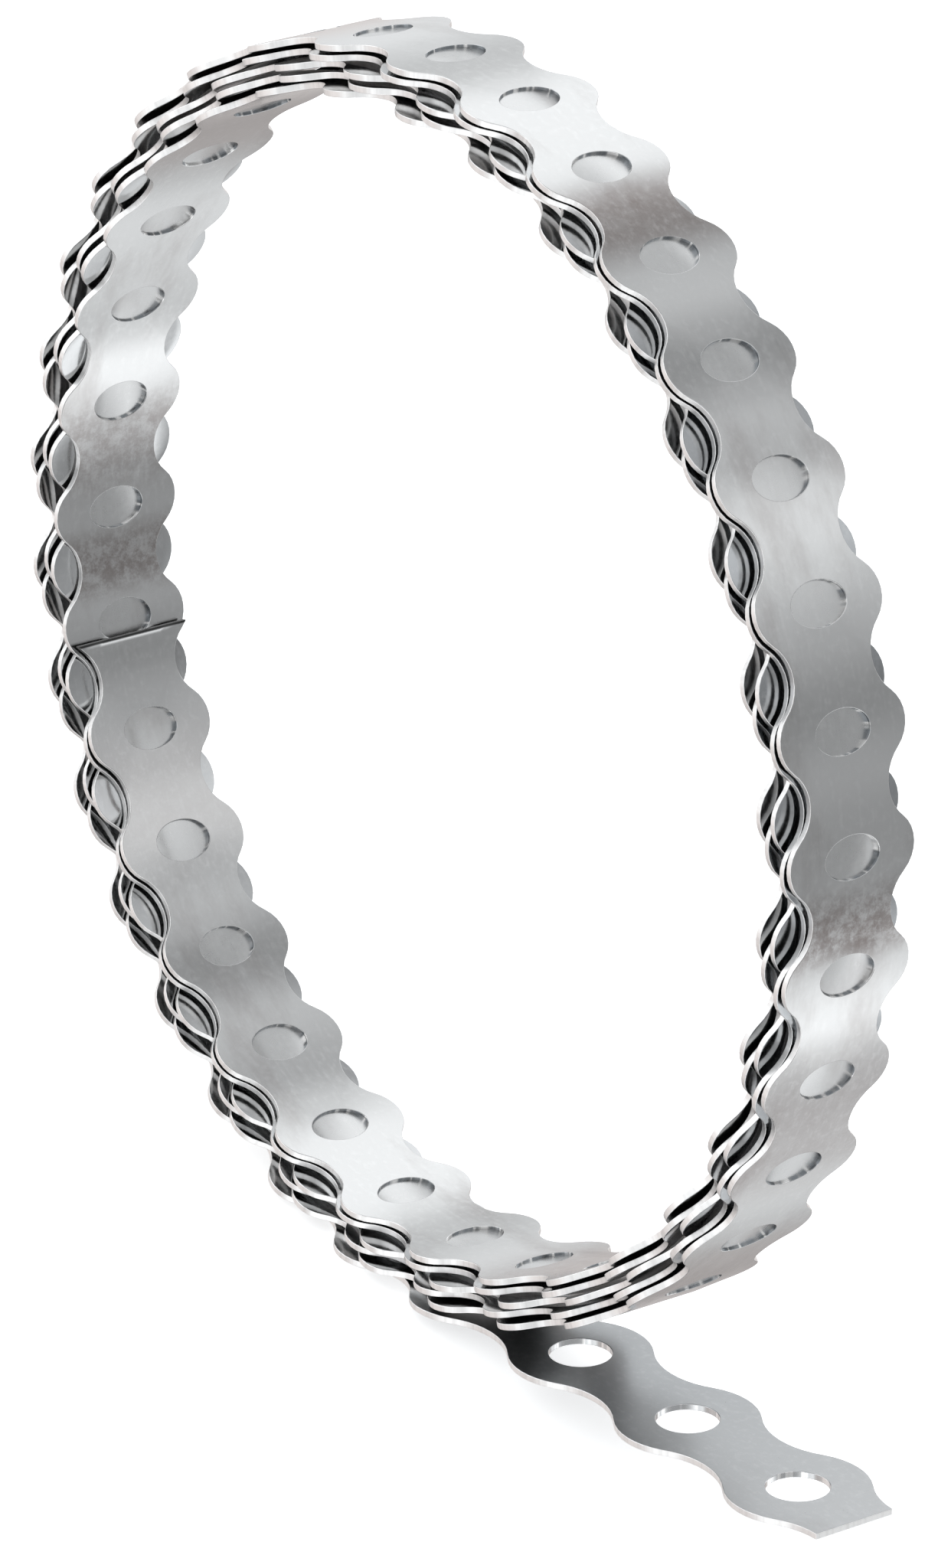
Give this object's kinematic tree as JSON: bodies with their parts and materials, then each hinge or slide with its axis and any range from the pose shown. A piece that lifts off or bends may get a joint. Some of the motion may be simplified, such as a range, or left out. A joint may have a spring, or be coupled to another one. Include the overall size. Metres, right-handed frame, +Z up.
{
  "type": "roll of perforated metal strap",
  "caption": "Loose open roll of wavy-edged perforated steel fixing strap, standing on its rim and leaning back a little, so that its flat free end is just off the floor.",
  "frame": {"origin": "on the floor, under the middle of the roll's length along X, at the middle of the strap's width", "axes": "+X the way the free end points, away from the coil; +Y along the coil's axis; +Z up"},
  "size_m": [0.1652, 0.017, 0.1523],
  "materials": {
    "steel": "satin galvanised sheet with bright cut edges"
  },
  "bodies": {
    "root": {"strap": "steel"}
  },
  "joints": []
}
